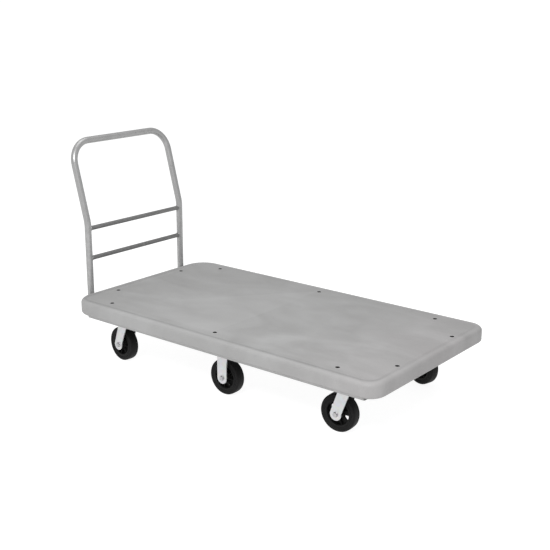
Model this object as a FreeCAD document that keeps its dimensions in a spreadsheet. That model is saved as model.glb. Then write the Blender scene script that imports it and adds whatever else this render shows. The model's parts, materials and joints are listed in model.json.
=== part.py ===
import FreeCAD, Part
import Sketcher
import math
import os

# Six-wheel platform cart: moulded deck on a steel under-frame, four swivel casters at the
# corners, two rigid casters at mid length and a lift-out tube handle at one end.
# Millimetres, +Z up, floor at z = 0, the deck's length along X, the handle at the -X end.

os.makedirs("parts", exist_ok=True)
doc = FreeCAD.newDocument("platform_cart")
Vec = FreeCAD.Vector

# ---------------------------------------------------------------- driving dimensions
SIZES = [
    ("deck_length", "1524", "deck, end to end"),
    ("deck_width", "812.8", "deck, side to side"),
    ("deck_top", "265", "deck surface above the floor"),
    ("skirt_height", "59", "deck edge, top to bottom"),
    ("deck_bottom", "=deck_top - skirt_height", "lower edge of the skirt"),
    ("deck_wall", "7", "skirt wall thickness"),
    ("deck_skin", "8", "top skin thickness"),
    ("corner_handle", "100", "plan corner radius, handle end"),
    ("corner_free", "67", "plan corner radius, free end"),
    ("edge_round", "16", "radius along the top edge"),
    ("lip_round", "10", "radius along the lower edge"),
    ("skin_under", "=deck_top - deck_skin", "underside of the top skin"),
    ("crease_inset", "28", "crease line from the deck's outer edge"),
    ("crease_round", "18", "radius of the crease's section"),
    ("crease_depth", "1.3", "depth of the crease"),
    ("rib_bottom", "227", "lower edge of the stiffening ribs"),
    ("rib_width", "5", "rib thickness"),
    ("rib_inner_y", "98", "inner lengthwise rib from the centre line"),
    ("rib_outer_y", "294", "outer lengthwise rib from the centre line"),
    ("boss_d", "24", "bolt boss diameter"),
    ("bolt_row_y", "339", "side bolts from the centre line"),
    ("bolt_side_x", "572", "side bolts either side of the middle one"),
    ("bolt_mid_x", "-10", "middle side bolt from the deck centre"),
    ("bolt_handle_x", "-698", "end bolts, handle end"),
    ("bolt_free_x", "717", "end bolts, free end"),
    ("bolt_end_y", "196", "end bolts from the centre line"),
    ("recess_d", "17", "counterbore of the deck bolts"),
    ("recess_depth", "6", "counterbore depth"),
    ("bolt_d", "8", "deck and caster bolt shank"),
    ("bolt_head_d", "13.2", "deck bolt head diameter"),
    ("bolt_head_h", "3.6", "deck bolt head height"),
    ("nut_across", "13", "deck and caster nuts and heads, across flats"),
    ("nut_h", "6.5", "deck and caster nut height"),
    ("plate_head_h", "5.3", "caster bolt head height"),
    ("long_bolt_tail", "12", "side bolt end below the cross channel"),
    ("short_bolt_tail", "18", "end bolt end below the top skin"),
    ("plate_bolt_length", "22", "caster bolt shank length"),
    ("plate_bolt_root", "2", "caster bolt shank inside its head"),
    ("rail_out", "398.7", "outer edge of the side rail from the centre line"),
    ("rail_flange", "40", "side rail, horizontal flange"),
    ("rail_top", "203", "top of the side rail's flange"),
    ("rail_steel", "3.5", "side rail thickness"),
    ("rail_leg_top", "226", "top of the side rail's upright leg"),
    ("rail_start", "-666", "side rail end towards the handle"),
    ("rail_end", "716", "side rail end at the free end"),
    ("frame_steel", "4", "channel wall thickness"),
    ("cross_width", "130", "caster cross channel, along X"),
    ("cross_bottom", "190", "underside of the caster cross channels"),
    ("cross_top", "220", "top of the caster cross channels"),
    ("cross_half", "358.7", "cross channel half length"),
    ("stringer_width", "40", "lengthwise channel width"),
    ("stringer_half", "745", "lengthwise channel half length"),
    ("beam_near_x", "-660", "handle beam, inner edge"),
    ("beam_far_x", "-740", "handle beam, outer edge"),
    ("beam_bottom", "198", "underside of the handle beam"),
    ("beam_half", "305", "handle beam half length"),
    ("socket_od", "34", "handle socket outside diameter"),
    ("socket_id", "29.6", "handle socket bore"),
    ("socket_bottom", "176", "handle socket lower end"),
    ("socket_top", "236", "handle socket upper end"),
    ("socket_floor", "3", "stop plate at the bottom of the socket"),
    ("strap_width", "34", "strap between socket and beam"),
    ("strap_steel", "5", "strap and gusset thickness"),
    ("tube_d", "28.6", "handle tube outside diameter"),
    ("tube_wall", "2", "handle tube wall"),
    ("post_x", "-781", "handle posts from the deck centre"),
    ("post_y", "279.5", "handle posts from the centre line"),
    ("post_bottom", "179.5", "lower end of the handle posts"),
    ("kink_z", "566", "height of the bend in the posts"),
    ("kink_radius", "120", "bend radius at the kink"),
    ("lean_deg", "14.7", "lean of the upper handle from upright"),
    ("grip_z", "900", "height of the top bar's centre line"),
    ("top_radius", "95", "bend radius at the top corners"),
    ("bar_d", "19", "crossbar outside diameter"),
    ("bar_wall", "1.6", "crossbar wall"),
    ("bar_upper_z", "541", "upper crossbar height"),
    ("bar_lower_z", "410", "lower crossbar height"),
    ("wheel_d", "145", "wheel diameter over the tread"),
    ("tread_w", "40", "tread width"),
    ("tread_round", "7", "tread shoulder radius"),
    ("axle_z", "=wheel_d / 2", "axle height"),
    ("core_d", "110", "wheel core outside diameter"),
    ("core_w", "34", "wheel core rim width"),
    ("core_bore", "92", "inside of the wheel core's rim"),
    ("web_w", "8", "wheel core web thickness"),
    ("opening_in", "4", "half width of a core opening at the hub"),
    ("opening_out", "12", "half width of a core opening at the rim"),
    ("opening_round", "5", "outer corner radius of a core opening"),
    ("hub_d", "38", "hub outside diameter"),
    ("hub_w", "50", "hub width"),
    ("sleeve_d", "20", "bearing sleeve outside diameter"),
    ("sleeve_w", "55.4", "bearing sleeve length"),
    ("axle_d", "10", "axle bolt shank"),
    ("axle_clear", "0.05", "running clearance on the axle, radial"),
    ("axle_hex", "16", "axle bolt head and lock nut, across flats"),
    ("axle_head_h", "6", "axle bolt head height"),
    ("axle_nut_h", "8", "axle lock nut height"),
    ("wheel_y", "283", "wheel centre from the centre line"),
    ("caster_handle_x", "-546", "swivel axis, handle end"),
    ("caster_mid_x", "3", "rigid caster axle"),
    ("caster_free_x", "577", "swivel axis, free end"),
    ("trail", "36", "axle behind the swivel axis"),
    ("fork_gap", "56", "between the fork legs"),
    ("fork_steel", "5", "fork leg thickness"),
    ("leg_radius", "23", "half width of a fork leg at the axle"),
    ("crown_bottom", "166", "underside of the fork crown"),
    ("crown_top", "171", "top of the fork crown"),
    ("race_top", "174.6", "top of the fork's ball race"),
    ("crown_rim", "12", "fork crown edge outside the ball ring"),
    ("race_rim", "4.5", "ball race edge outside the ball ring"),
    ("leg_step", "4", "upright part of a leg's edges above the axle"),
    ("leg_back", "3", "swivel leg's rear top corner, behind the leg radius"),
    ("leg_flare", "1", "change of the legs' half width at the top"),
    ("plate_bottom", "184", "underside of the caster top plate"),
    ("plate_length", "114", "caster top plate, along X"),
    ("plate_width", "95", "caster top plate, along Y"),
    ("plate_round", "12", "caster top plate corner radius"),
    ("plate_bolt_x", "46", "caster bolts from the plate centre, along X"),
    ("plate_bolt_y", "38", "caster bolts from the plate centre, along Y"),
    ("ball_d", "9", "swivel bearing ball"),
    ("ball_ring", "24", "radius of the ball ring"),
    ("ball_count", "14", "balls in one swivel bearing"),
    ("cup_lift", "2", "lower edge of the ball cup above the race"),
    ("cup_wall", "3.5", "ball cup wall thickness"),
    ("join", "0.5", "depth by which joined features run into each other"),
    ("kingpin_d", "14", "kingpin shank"),
    ("kingpin_nut_d", "27", "kingpin lower flange"),
    ("kingpin_flange", "8.5", "lower end of the kingpin below the crown"),
    ("kingpin_round", "2", "chamfer of the kingpin flange"),
    ("kingpin_gap", "0.3", "gap between the kingpin flange and the crown"),
    ("grip_x", "=post_x - (grip_z - kink_z) * tan(lean_deg * 1 deg)", "top bar from the deck centre"),
    ("frame_shift", "=(tube_d / 2 - grip_x - deck_length / 2) / 2", "deck centre from the origin"),
]

sheet = doc.addObject("Spreadsheet::Sheet", "dims")
for row, (alias, value, note) in enumerate(SIZES, start=1):
    sheet.set("A%d" % row, note)
    sheet.set("B%d" % row, value)
    sheet.setAlias("B%d" % row, alias)
doc.recompute()


def size(alias):
    """Value of a driving dimension as a plain number."""
    value = sheet.get(alias)
    return float(getattr(value, "Value", value))


SHIFT = size("frame_shift")
NODES = []


def keep(obj, name, x=0.0, y=0.0, turn=0.0):
    """Name an object as a node and put it at its place under the deck."""
    obj.Label = name
    spin = FreeCAD.Rotation(Vec(0, 0, 1), turn)
    obj.Placement = FreeCAD.Placement(Vec(SHIFT + x, y, 0), spin)
    NODES.append(obj)
    return obj


# ---------------------------------------------------------------- sketch and body helpers
def new_body(name):
    return doc.addObject("PartDesign::Body", name + "_body")


def plane(body, role):
    for item in body.Origin.OriginFeatures:
        if item.Role == role:
            return item
    raise ValueError(role)


def new_sketch(body, name, role, offset=None):
    """Sketch on one of the body's own origin planes, lifted along its normal by offset."""
    sketch = body.newObject("Sketcher::SketchObject", name)
    sketch.AttachmentSupport = [(plane(body, role), "")]
    sketch.MapMode = "FlatFace"
    if offset is not None:
        sketch.setExpression("AttachmentOffset.Base.z", offset)
    return sketch


def locate(sketch, geo, point, x, y):
    """Tie a sketch point to the origin with two bound distances."""
    first = sketch.addConstraint(Sketcher.Constraint("DistanceX", -1, 1, geo, point, 1.0))
    sketch.setExpression("Constraints[%d]" % first, x)
    second = sketch.addConstraint(Sketcher.Constraint("DistanceY", -1, 1, geo, point, 1.0))
    sketch.setExpression("Constraints[%d]" % second, y)


def polygon(sketch, points):
    """Closed polygon whose corners are given as pairs of expressions."""
    count = len(points)
    start = sketch.GeometryCount
    for i in range(count):
        a = 2 * math.pi * i / count
        b = 2 * math.pi * (i + 1) / count
        p = Vec(10 * math.cos(a), 10 * math.sin(a), 0)
        q = Vec(10 * math.cos(b), 10 * math.sin(b), 0)
        sketch.addGeometry(Part.LineSegment(p, q), False)
    for i in range(count):
        nxt = start + (i + 1) % count
        sketch.addConstraint(Sketcher.Constraint("Coincident", start + i, 2, nxt, 1))
    for i, (x, y) in enumerate(points):
        locate(sketch, start + i, 1, x, y)


def box_outline(sketch, x0, y0, x1, y1):
    polygon(sketch, [(x0, y0), (x1, y0), (x1, y1), (x0, y1)])


def circle(sketch, x, y, radius):
    """Circle with its centre and radius given as expressions."""
    geo = sketch.addGeometry(Part.Circle(Vec(1, 1, 0), Vec(0, 0, 1), 5.0), False)
    index = sketch.addConstraint(Sketcher.Constraint("Radius", geo, 5.0))
    sketch.setExpression("Constraints[%d]" % index, radius)
    locate(sketch, geo, 3, x, y)


def pad(body, sketch, name, length, midplane=False, reverse=False):
    feature = body.newObject("PartDesign::Pad", name)
    feature.Profile = sketch
    feature.setExpression("Length", length)
    if midplane:
        feature.SideType = "Symmetric"
    feature.Reversed = reverse
    sketch.Visibility = False
    doc.recompute()
    return feature


def pocket(body, sketch, name, length=None, midplane=False, reverse=False):
    """Cut a sketch into the body; through everything when no length is given."""
    before = body.Shape.Volume
    feature = body.newObject("PartDesign::Pocket", name)
    feature.Profile = sketch
    if length is None:
        feature.Type = "ThroughAll"
    else:
        feature.setExpression("Length", length)
    if midplane:
        feature.SideType = "Symmetric"
    feature.Reversed = reverse
    sketch.Visibility = False
    doc.recompute()
    if not body.Shape.Volume < before - 1e-3:
        raise ValueError(name + " cuts nothing")
    return feature


def fillet(body, name, radius, pick):
    """Round the edges of the body's tip that pick accepts."""
    tip = body.Tip
    names = []
    for i, edge in enumerate(tip.Shape.Edges, start=1):
        if pick(edge):
            names.append("Edge%d" % i)
    if not names:
        raise ValueError(name + " finds no edges")
    feature = body.newObject("PartDesign::Fillet", name)
    feature.Base = (tip, names)
    feature.setExpression("Radius", radius)
    doc.recompute()
    return feature


def upright_at(x_low, x_high):
    """Pick upright edges between two X positions."""
    def pick(edge):
        box = edge.BoundBox
        upright = box.ZLength > 1 and box.XLength < 0.01 and box.YLength < 0.01
        return upright and x_low <= box.Center.x <= x_high
    return pick


def flat_at(z):
    """Pick edges that lie at one height."""
    def pick(edge):
        box = edge.BoundBox
        return abs(box.ZMin - z) < 0.01 and abs(box.ZMax - z) < 0.01
    return pick


# ---------------------------------------------------------------- moulded deck
def deck_outline(body, name, wall, height):
    """Deck outline in plan, drawn in by the wall expression."""
    sketch = new_sketch(body, name, "XY_Plane", height)
    half_x = "(dims.deck_length / 2 - %s)" % wall
    half_y = "(dims.deck_width / 2 - %s)" % wall
    box_outline(sketch, "-" + half_x, "-" + half_y, half_x, half_y)
    return sketch


def make_deck():
    body = new_body("deck")
    far = size("deck_length")
    outline = deck_outline(body, "deck_outline", "0", "dims.deck_bottom")
    pad(body, outline, "deck_block", "dims.skirt_height")
    fillet(body, "deck_corners_handle", "dims.corner_handle", upright_at(-far, 0))
    fillet(body, "deck_corners_free", "dims.corner_free", upright_at(0, far))
    fillet(body, "deck_top_edge", "dims.edge_round", flat_at(size("deck_top")))
    fillet(body, "deck_lower_edge", "dims.lip_round", flat_at(size("deck_bottom")))

    hollow = new_sketch(body, "deck_hollow", "XY_Plane", "dims.deck_bottom")
    rounded_outline(hollow, "deck_wall")
    pocket(body, hollow, "deck_hollow_cut", "dims.skirt_height - dims.deck_skin", reverse=True)

    ribs = new_sketch(body, "rib_lines", "XY_Plane", "dims.rib_bottom")
    reach = "(dims.deck_length / 2 - dims.deck_wall / 2)"
    for y in ("0", "dims.rib_inner_y", "-dims.rib_inner_y", "dims.rib_outer_y", "-dims.rib_outer_y"):
        half = "dims.rib_width / 2"
        box_outline(ribs, "-" + reach, "%s - %s" % (y, half), reach, "%s + %s" % (y, half))
    pad(body, ribs, "ribs_lengthwise", "dims.skin_under - dims.rib_bottom + 0.5")

    short = new_sketch(body, "short_ribs", "XY_Plane", "dims.rib_bottom")
    gap = "(dims.bolt_end_y - dims.stringer_width / 2 - 2)"
    past = "(dims.bolt_end_y + dims.stringer_width / 2 + 2)"
    edge = "(dims.deck_width / 2 - dims.deck_wall / 2)"
    for x in ("-400", "-270", "-140", "140", "290", "430"):
        left = "%s - dims.rib_width / 2" % x
        right = "%s + dims.rib_width / 2" % x
        box_outline(short, left, "-" + gap, right, gap)
        box_outline(short, left, past, right, edge)
        box_outline(short, left, "-" + edge, right, "-" + past)
    pad(body, short, "ribs_crosswise", "dims.skin_under - dims.rib_bottom + 0.5")

    side = []
    for x in SIDE_BOLTS:
        for y in ("dims.bolt_row_y", "-dims.bolt_row_y"):
            side.append((x, y))
    ends = []
    for x in ("dims.bolt_handle_x", "dims.bolt_free_x"):
        for y in ("dims.bolt_end_y", "-dims.bolt_end_y"):
            ends.append((x, y))
    bosses = new_sketch(body, "bosses", "XY_Plane", "dims.cross_bottom + dims.frame_steel")
    for x, y in side:
        circle(bosses, x, y, "dims.boss_d / 2")
    rise = "dims.skin_under - dims.cross_bottom - dims.frame_steel + 0.5"
    pad(body, bosses, "boss_posts", rise)

    recess = new_sketch(body, "bolt_recesses", "XY_Plane", "dims.deck_top")
    bores = new_sketch(body, "bolt_bores", "XY_Plane", "dims.deck_top")
    for x, y in side + ends:
        circle(recess, x, y, "dims.recess_d / 2")
        circle(bores, x, y, "dims.bolt_d / 2")
    pocket(body, recess, "bolt_recess_cut", "dims.recess_depth")
    pocket(body, bores, "bolt_bore_cut")
    crease(body)
    keep(body, "deck_shell")
    return side, ends


def rounded_outline(sketch, inset):
    """The deck's outline drawn in by a named size: four runs joined by tangent corner arcs."""
    wall = size(inset)
    inset = "dims." + inset
    half_x = size("deck_length") / 2 - wall
    half_y = size("deck_width") / 2 - wall
    corners = [
        (1, 1, size("corner_free") - wall, "dims.corner_free"),
        (-1, 1, size("corner_handle") - wall, "dims.corner_handle"),
        (-1, -1, size("corner_handle") - wall, "dims.corner_handle"),
        (1, -1, size("corner_free") - wall, "dims.corner_free"),
    ]
    arcs = []
    for i, (sx, sy, radius, alias) in enumerate(corners):
        centre = Vec(sx * (half_x - radius), sy * (half_y - radius), 0)
        ring = Part.Circle(centre, Vec(0, 0, 1), radius)
        start = i * math.pi / 2
        arcs.append(sketch.addGeometry(Part.ArcOfCircle(ring, start, start + math.pi / 2), False))
    lines = []
    for i in range(4):
        p = sketch.getPoint(arcs[i], 2)
        q = sketch.getPoint(arcs[(i + 1) % 4], 1)
        lines.append(sketch.addGeometry(Part.LineSegment(p, q), False))
    for i in range(4):
        sketch.addConstraint(Sketcher.Constraint("Tangent", arcs[i], 2, lines[i], 1))
        sketch.addConstraint(Sketcher.Constraint("Tangent", lines[i], 2, arcs[(i + 1) % 4], 1))
    sketch.addConstraint(Sketcher.Constraint("Horizontal", lines[0]))
    sketch.addConstraint(Sketcher.Constraint("Horizontal", lines[2]))
    sketch.addConstraint(Sketcher.Constraint("Vertical", lines[1]))
    sketch.addConstraint(Sketcher.Constraint("Vertical", lines[3]))
    for arc, (sx, sy, radius, alias) in zip(arcs, corners):
        index = sketch.addConstraint(Sketcher.Constraint("Radius", arc, radius))
        sketch.setExpression("Constraints[%d]" % index, alias + " - " + inset)
    bounds = [
        ("DistanceY", lines[0], "dims.deck_width / 2 - " + inset, half_y),
        ("DistanceX", lines[1], "-(dims.deck_length / 2 - %s)" % inset, -half_x),
        ("DistanceY", lines[2], "-(dims.deck_width / 2 - %s)" % inset, -half_y),
        ("DistanceX", lines[3], "dims.deck_length / 2 - " + inset, half_x),
    ]
    for kind, line, expression, value in bounds:
        index = sketch.addConstraint(Sketcher.Constraint(kind, -1, 1, line, 1, value))
        sketch.setExpression("Constraints[%d]" % index, expression)


def crease(body):
    """Shallow round-bottomed crease that runs round the top face just inside its edge."""
    path = new_sketch(body, "crease_path", "XY_Plane", "dims.deck_top")
    rounded_outline(path, "crease_inset")
    section = new_sketch(body, "crease_section", "YZ_Plane")
    centre_y = "dims.deck_width / 2 - dims.crease_inset"
    centre_z = "dims.deck_top + dims.crease_round - dims.crease_depth"
    circle(section, centre_y, centre_z, "dims.crease_round")
    doc.recompute()
    before = body.Shape.Volume
    feature = body.newObject("PartDesign::SubtractivePipe", "crease_cut")
    feature.Profile = section
    feature.Spine = (path, ["Edge%d" % (i + 1) for i in range(8)])
    path.Visibility = False
    section.Visibility = False
    doc.recompute()
    if not body.Shape.Volume < before - 1e-3:
        raise ValueError("crease cuts nothing")


SIDE_BOLTS = [
    "dims.bolt_mid_x - dims.bolt_side_x",
    "dims.bolt_mid_x",
    "dims.bolt_mid_x + dims.bolt_side_x",
]
side_bolts, end_bolts = make_deck()


# ---------------------------------------------------------------- steel under-frame
def side_rail(sign, name):
    """Angle along one long side; its flange shows as a thin lip under the skirt."""
    body = new_body(name)
    sketch = new_sketch(body, name + "_profile", "YZ_Plane", "dims.rail_start")
    out = "%s * dims.rail_out" % sign
    inner = "%s * (dims.rail_out - dims.rail_flange)" % sign
    leg = "%s * (dims.rail_out - dims.rail_flange + dims.rail_steel)" % sign
    low = "dims.rail_top - dims.rail_steel"
    polygon(sketch, [
        (inner, low),
        (out, low),
        (out, "dims.rail_top"),
        (leg, "dims.rail_top"),
        (leg, "dims.rail_leg_top"),
        (inner, "dims.rail_leg_top"),
    ])
    pad(body, sketch, name + "_length", "dims.rail_end - dims.rail_start")
    return keep(body, name)


def holes_through(body, name, spots, radius):
    sketch = new_sketch(body, name, "XY_Plane", "dims.deck_top")
    for x, y in spots:
        circle(sketch, x, y, radius)
    pocket(body, sketch, name + "_cut")


def cross_channel(name, caster_x, bolt_x):
    """Channel that carries one pair of casters, open upwards, bolted to the deck."""
    body = new_body(name)
    sketch = new_sketch(body, name + "_profile", "XZ_Plane")
    half = "dims.cross_width / 2"
    inner = "(dims.cross_width / 2 - dims.frame_steel)"
    low = "dims.cross_bottom"
    web = "dims.cross_bottom + dims.frame_steel"
    high = "dims.cross_top"
    left = "%s - %s" % (caster_x, half)
    right = "%s + %s" % (caster_x, half)
    polygon(sketch, [
        (left, low), (right, low), (right, high),
        ("%s + %s" % (caster_x, inner), high), ("%s + %s" % (caster_x, inner), web),
        ("%s - %s" % (caster_x, inner), web), ("%s - %s" % (caster_x, inner), high),
        (left, high),
    ])
    pad(body, sketch, name + "_length", "2 * dims.cross_half", midplane=True)
    spots = [(bolt_x, "dims.bolt_row_y"), (bolt_x, "-dims.bolt_row_y")]
    for side in ("1", "-1"):
        for sx in ("1", "-1"):
            for sy in ("1", "-1"):
                x = "%s + %s * dims.plate_bolt_x" % (caster_x, sx)
                y = "%s * dims.wheel_y + %s * dims.plate_bolt_y" % (side, sy)
                spots.append((x, y))
    holes_through(body, name + "_holes", spots, "dims.bolt_d / 2")
    return keep(body, name)


def stringer(sign, name):
    """Lengthwise channel under the deck skin, open downwards."""
    body = new_body(name)
    sketch = new_sketch(body, name + "_profile", "YZ_Plane", "-dims.stringer_half")
    mid = "%s * dims.bolt_end_y" % sign
    half = "dims.stringer_width / 2"
    inner = "(dims.stringer_width / 2 - dims.frame_steel)"
    polygon(sketch, [
        ("%s - %s" % (mid, half), "dims.cross_top"),
        ("%s - %s" % (mid, inner), "dims.cross_top"),
        ("%s - %s" % (mid, inner), "dims.skin_under - dims.frame_steel"),
        ("%s + %s" % (mid, inner), "dims.skin_under - dims.frame_steel"),
        ("%s + %s" % (mid, inner), "dims.cross_top"),
        ("%s + %s" % (mid, half), "dims.cross_top"),
        ("%s + %s" % (mid, half), "dims.skin_under"),
        ("%s - %s" % (mid, half), "dims.skin_under"),
    ])
    pad(body, sketch, name + "_length", "2 * dims.stringer_half")
    spots = [("dims.bolt_handle_x", mid), ("dims.bolt_free_x", mid)]
    holes_through(body, name + "_holes", spots, "dims.bolt_d / 2")
    return keep(body, name)


def handle_beam():
    """Channel across the handle end, welded under the lengthwise channels."""
    body = new_body("handle_beam")
    sketch = new_sketch(body, "beam_profile", "XZ_Plane")
    web = "dims.beam_bottom + dims.frame_steel"
    polygon(sketch, [
        ("dims.beam_far_x", "dims.beam_bottom"),
        ("dims.beam_near_x", "dims.beam_bottom"),
        ("dims.beam_near_x", "dims.cross_top"),
        ("dims.beam_near_x - dims.frame_steel", "dims.cross_top"),
        ("dims.beam_near_x - dims.frame_steel", web),
        ("dims.beam_far_x + dims.frame_steel", web),
        ("dims.beam_far_x + dims.frame_steel", "dims.cross_top"),
        ("dims.beam_far_x", "dims.cross_top"),
    ])
    pad(body, sketch, "beam_length", "2 * dims.beam_half", midplane=True)
    return keep(body, "handle_beam")


def handle_socket(sign, name):
    """Upright sleeve with a stop plate, a strap to the beam and a gusset below the strap."""
    body = new_body(name)
    mid = "%s * dims.post_y" % sign
    sleeve = new_sketch(body, name + "_sleeve", "XY_Plane", "dims.socket_bottom")
    circle(sleeve, "dims.post_x", mid, "dims.socket_od / 2")
    pad(body, sleeve, name + "_sleeve_pad", "dims.socket_top - dims.socket_bottom")
    strap = new_sketch(body, name + "_strap", "XY_Plane", "dims.beam_bottom")
    half = "dims.strap_width / 2"
    box_outline(strap, "dims.post_x", mid + " - " + half, "dims.beam_far_x", mid + " + " + half)
    pad(body, strap, name + "_strap_pad", "dims.strap_steel")
    gusset = new_sketch(body, name + "_gusset", "XZ_Plane", "-(%s)" % mid)
    polygon(gusset, [
        ("dims.post_x + 10", "dims.beam_bottom"),
        ("dims.post_x + 10", "dims.socket_bottom + 3"),
        ("dims.post_x + dims.socket_od / 2 + 3", "dims.socket_bottom + 3"),
        ("dims.beam_far_x - 1", "dims.beam_bottom"),
    ])
    pad(body, gusset, name + "_gusset_pad", "dims.strap_steel", midplane=True)
    bore = new_sketch(body, name + "_bore", "XY_Plane", "dims.socket_bottom + dims.socket_floor")
    circle(bore, "dims.post_x", mid, "dims.socket_id / 2")
    pocket(body, bore, name + "_bore_cut", "100", reverse=True)
    return keep(body, name)


side_rail("-1", "side_rail_near")
side_rail("1", "side_rail_far")
cross_channel("cross_channel_handle", "dims.caster_handle_x", SIDE_BOLTS[0])
cross_channel("cross_channel_mid", "dims.caster_mid_x", SIDE_BOLTS[1])
cross_channel("cross_channel_free", "dims.caster_free_x", SIDE_BOLTS[2])
stringer("-1", "stringer_near")
stringer("1", "stringer_far")
handle_beam()
handle_socket("-1", "handle_socket_near")
handle_socket("1", "handle_socket_far")


# ---------------------------------------------------------------- fasteners
def bolt_pattern_object(name, parts, spots):
    """Group of equal solids: one prototype fused from bound primitives, set at each spot."""
    proto = doc.addObject("Part::MultiFuse", name + "_proto")
    proto.Shapes = parts
    doc.recompute()
    solids = []
    for x, y in spots:
        copy = proto.Shape.copy()
        copy.translate(Vec(x, y, 0))
        solids.append(copy)
    group = doc.addObject("Part::Feature", name)
    group.Shape = Part.makeCompound(solids)
    return group


def cylinder(name, radius, height, base):
    item = doc.addObject("Part::Cylinder", name)
    item.setExpression("Radius", radius)
    item.setExpression("Height", height)
    item.setExpression("Placement.Base.z", base)
    return item


def hexagon(name, across, height, base):
    item = doc.addObject("Part::Prism", name)
    item.Polygon = 6
    item.setExpression("Circumradius", "%s / sqrt(3)" % across)
    item.setExpression("Height", height)
    item.setExpression("Placement.Base.z", base)
    return item


def side_spots():
    mid = size("bolt_mid_x")
    step = size("bolt_side_x")
    row_y = size("bolt_row_y")
    return [(x, y) for x in (mid - step, mid, mid + step) for y in (-row_y, row_y)]


def end_spots():
    end_y = size("bolt_end_y")
    return [(x, y) for x in (size("bolt_handle_x"), size("bolt_free_x")) for y in (-end_y, end_y)]


CASTERS = [
    ("handle_near", size("caster_handle_x"), -size("wheel_y"), -5.5, -15.0),
    ("handle_far", size("caster_handle_x"), size("wheel_y"), 0.0, 65.0),
    ("free_near", size("caster_free_x"), -size("wheel_y"), 3.0, 25.0),
    ("free_far", size("caster_free_x"), size("wheel_y"), -14.0, 10.0),
]
RIGIDS = [
    ("mid_near", size("caster_mid_x"), -size("wheel_y"), -15.0),
    ("mid_far", size("caster_mid_x"), size("wheel_y"), 5.0),
]


def caster_spots():
    spots = []
    centres = [(x, y) for _, x, y, _, _ in CASTERS] + [(x, y) for _, x, y, _ in RIGIDS]
    for cx, cy in centres:
        for dx in (-size("plate_bolt_x"), size("plate_bolt_x")):
            for dy in (-size("plate_bolt_y"), size("plate_bolt_y")):
                spots.append((cx + dx, cy + dy))
    return spots


HEAD_SEAT = "dims.deck_top - dims.recess_depth"
long_bolt = [
    cylinder("long_head", "dims.bolt_head_d / 2", "dims.bolt_head_h", HEAD_SEAT),
    cylinder("long_shank", "dims.bolt_d / 2", HEAD_SEAT + " - dims.cross_bottom + dims.long_bolt_tail",
             "dims.cross_bottom - dims.long_bolt_tail"),
]
short_bolt = [
    cylinder("short_head", "dims.bolt_head_d / 2", "dims.bolt_head_h", HEAD_SEAT),
    cylinder("short_shank", "dims.bolt_d / 2", HEAD_SEAT + " - dims.skin_under + dims.short_bolt_tail",
             "dims.skin_under - dims.short_bolt_tail"),
]
long_group = bolt_pattern_object("deck_bolts_long", long_bolt, side_spots())
short_group = bolt_pattern_object("deck_bolts_short", short_bolt, end_spots())
deck_bolts = doc.addObject("Part::Feature", "deck_bolts_all")
deck_bolts.Shape = Part.makeCompound(long_group.Shape.Solids + short_group.Shape.Solids)
keep(deck_bolts, "deck_bolts")


def ring_nut(name, base):
    """Hexagon nut with its bore, from two bound primitives."""
    outer = hexagon(name + "_hex", "dims.nut_across", "dims.nut_h", base)
    inner = cylinder(name + "_bore", "dims.bolt_d / 2", "dims.nut_h", base)
    nut = doc.addObject("Part::Cut", name)
    nut.Base = outer
    nut.Tool = inner
    doc.recompute()
    return nut


def spread(source, spots):
    """Copies of one solid, one at each spot, as separate solids of a node."""
    solids = []
    for x, y in spots:
        copy = source.Shape.copy()
        copy.translate(Vec(x, y, 0))
        solids.append(copy)
    return solids


long_nut = ring_nut("long_nut", "dims.cross_bottom - dims.nut_h")
short_nut = ring_nut("short_nut", "dims.skin_under - dims.frame_steel - dims.nut_h")
deck_nuts = doc.addObject("Part::Feature", "deck_nuts_all")
deck_nuts.Shape = Part.makeCompound(
    spread(long_nut, side_spots()) + spread(short_nut, end_spots()))
keep(deck_nuts, "deck_nuts")

plate_bolt = [
    hexagon("plate_bolt_head", "dims.nut_across", "dims.plate_head_h",
            "dims.plate_bottom - dims.plate_head_h"),
    cylinder("plate_bolt_shank", "dims.bolt_d / 2", "dims.plate_bolt_length",
             "dims.plate_bottom - dims.plate_bolt_root"),
]
keep(bolt_pattern_object("caster_bolts_all", plate_bolt, caster_spots()), "caster_bolts")
plate_nut = ring_nut("plate_nut", "dims.cross_bottom + dims.frame_steel")
caster_nuts = doc.addObject("Part::Feature", "caster_nuts_all")
caster_nuts.Shape = Part.makeCompound(spread(plate_nut, caster_spots()))
keep(caster_nuts, "caster_nuts")


# ---------------------------------------------------------------- casters
def top_plate_base(body, name):
    """Caster top plate with rounded corners and its four bolt holes."""
    sketch = new_sketch(body, name + "_plate", "XY_Plane", "dims.plate_bottom")
    box_outline(sketch, "-dims.plate_length / 2", "-dims.plate_width / 2",
                "dims.plate_length / 2", "dims.plate_width / 2")
    pad(body, sketch, name + "_plate_pad", "dims.cross_bottom - dims.plate_bottom")
    fillet(body, name + "_plate_corners", "dims.plate_round", upright_at(-1000, 1000))


def plate_holes(body, name):
    spots = []
    for sx in ("-", ""):
        for sy in ("-", ""):
            spots.append((sx + "dims.plate_bolt_x", sy + "dims.plate_bolt_y"))
    holes_through(body, name + "_plate_holes", spots, "dims.bolt_d / 2")


def swivel_plate(tag, x, y):
    """Top plate with a pressed ball cup and the kingpin hole."""
    name = "swivel_plate_" + tag
    body = new_body(name)
    top_plate_base(body, name)
    cup = new_sketch(body, name + "_cup", "XY_Plane", "dims.race_top + dims.cup_lift")
    circle(cup, "0", "0", "dims.ball_ring + dims.ball_d / 2 + dims.join + dims.cup_wall")
    circle(cup, "0", "0", "dims.ball_ring + dims.ball_d / 2 + dims.join")
    pad(body, cup, name + "_cup_pad", "dims.plate_bottom - dims.race_top - dims.cup_lift + dims.join")
    plate_holes(body, name)
    holes_through(body, name + "_kingpin_hole", [("0", "0")], "dims.kingpin_d / 2")
    return keep(body, name, x, y)


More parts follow.
